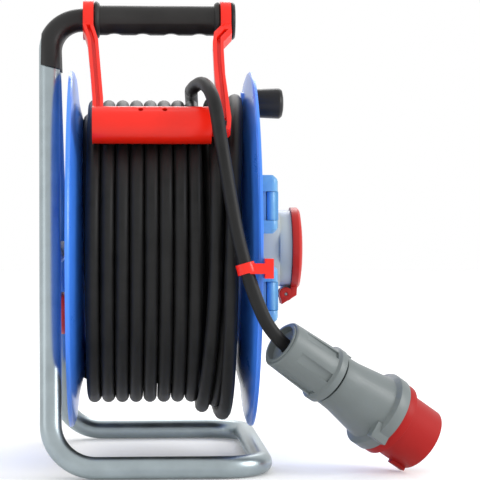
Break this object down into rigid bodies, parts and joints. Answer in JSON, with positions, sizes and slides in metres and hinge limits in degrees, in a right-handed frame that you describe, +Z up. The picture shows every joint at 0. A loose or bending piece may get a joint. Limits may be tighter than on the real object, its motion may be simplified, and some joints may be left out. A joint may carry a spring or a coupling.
{
  "type": "extension cable reel",
  "caption": "Portable extension cable reel: a blue drum with wound black cable and covered outlets on a bent tube frame with a handle, a red cable guide and a five pole plug.",
  "frame": {"origin": "floor level under the middle of the reel, measured without the free lead and its plug", "axes": "+Z up; +X along the drum's axis towards the outlets; +Y away from the side with the cable guide and plug"},
  "size_m": [0.3466, 0.3364, 0.4129],
  "materials": {
    "zinc": "bright zinc plated tube",
    "grip_rubber": "matt",
    "cover_plastic": "satin",
    "guide_red": "glossy",
    "drum_blue": "glossy",
    "bush_plastic": "plain",
    "lid_blue": "glossy",
    "pole_grey": "satin",
    "pole_red": "glossy",
    "plug_grey": "satin",
    "plug_red": "satin",
    "black_plastic": "satin",
    "cable_rubber": "satin",
    "steel": "plain",
    "brass": "plain",
    "brake_red": "satin"
  },
  "bodies": {
    "frame": {"frame_tube": "zinc", "crossbar": "zinc", "axle": "steel", "axle_washer": "steel", "axle_nut": "steel", "grip": "grip_rubber", "grip_end_cap": "black_plastic", "elbow_cover": "cover_plastic", "brake_plate": "zinc", "lead": "cable_rubber", "cable_clip": "guide_red", "plug_gland": "plug_grey", "plug_cap": "plug_grey", "plug_seal": "black_plastic", "plug_body": "plug_grey", "plug_shroud": "plug_red", "plug_carrier": "black_plastic", "plug_pins": "brass"},
    "guide": {"cable_guide": "guide_red"},
    "drum": {"rear_flange": "drum_blue", "front_flange": "drum_blue", "drum_barrel": "drum_blue", "bulkhead": "drum_blue", "rear_bush": "bush_plastic", "front_bush": "bush_plastic", "socket_panel": "drum_blue", "panel_screws": "steel", "cable_core": "cable_rubber", "cable_turns": "cable_rubber", "mains_base_upper": "lid_blue", "mains_insert_upper": "black_plastic", "mains_pin_upper": "steel", "mains_base_lower": "lid_blue", "mains_insert_lower": "black_plastic", "mains_pin_lower": "steel", "pole_body": "pole_grey", "pole_ring": "pole_grey", "pole_insert": "black_plastic", "pole_pin": "steel", "cut_out": "black_plastic", "knob_spindle": "steel"},
    "knob": {"crank_knob": "black_plastic"},
    "brake": {"brake_knob": "black_plastic", "brake_spindle": "steel", "brake_shoe": "brake_red", "brake_pad": "cable_rubber"},
    "lid_upper": {"mains_lid_upper": "lid_blue"},
    "lid_lower": {"mains_lid_lower": "lid_blue"},
    "lid_pole": {"pole_lid": "pole_red", "lid_gasket": "black_plastic"},
    "button": {"reset_button": "black_plastic"}
  },
  "joints": [
    {"name": "drum_spin", "type": "hinge", "parent": "frame", "child": "drum", "pos_m": [0, 0, 0.1885], "axis": [1, 0, 0], "continuous": true, "deforming": ["cable_turns"]},
    {"name": "guide_swing", "type": "hinge", "parent": "frame", "child": "guide", "pos_m": [0, 0, 0.395], "axis": [-1, 0, 0], "range_deg": [0, 30], "deforming": ["lead"]},
    {"name": "knob_spin", "type": "hinge", "parent": "drum", "child": "knob", "pos_m": [0.085, 0, 0.3205], "axis": [1, 0, 0], "continuous": true},
    {"name": "brake_turn", "type": "hinge", "parent": "frame", "child": "brake", "pos_m": [-0.105, 0, 0.1305], "axis": [1, 0, 0], "range_deg": [-90, 90]},
    {"name": "lid_upper_swing", "type": "hinge", "parent": "drum", "child": "lid_upper", "pos_m": [0.0858, -0.0488, 0.2283], "axis": [0, 0, -1], "range_deg": [0, 110], "stiffness_Nm_per_rad": 0.01, "springref_deg": -28.65},
    {"name": "lid_lower_swing", "type": "hinge", "parent": "drum", "child": "lid_lower", "pos_m": [0.0858, -0.0488, 0.1487], "axis": [0, 0, -1], "range_deg": [0, 110], "stiffness_Nm_per_rad": 0.01, "springref_deg": -28.65},
    {"name": "lid_pole_swing", "type": "hinge", "parent": "drum", "child": "lid_pole", "pos_m": [0.1058, 0.046, 0.146], "axis": [0, 1, 0], "range_deg": [0, 100], "stiffness_Nm_per_rad": 0.05, "springref_deg": -57.3},
    {"name": "button_press", "type": "slide", "parent": "drum", "child": "button", "axis": [-1, 0, 0], "range_m": [0, 0.0015], "stiffness_N_per_m": 300, "springref_m": -0.001}
  ]
}
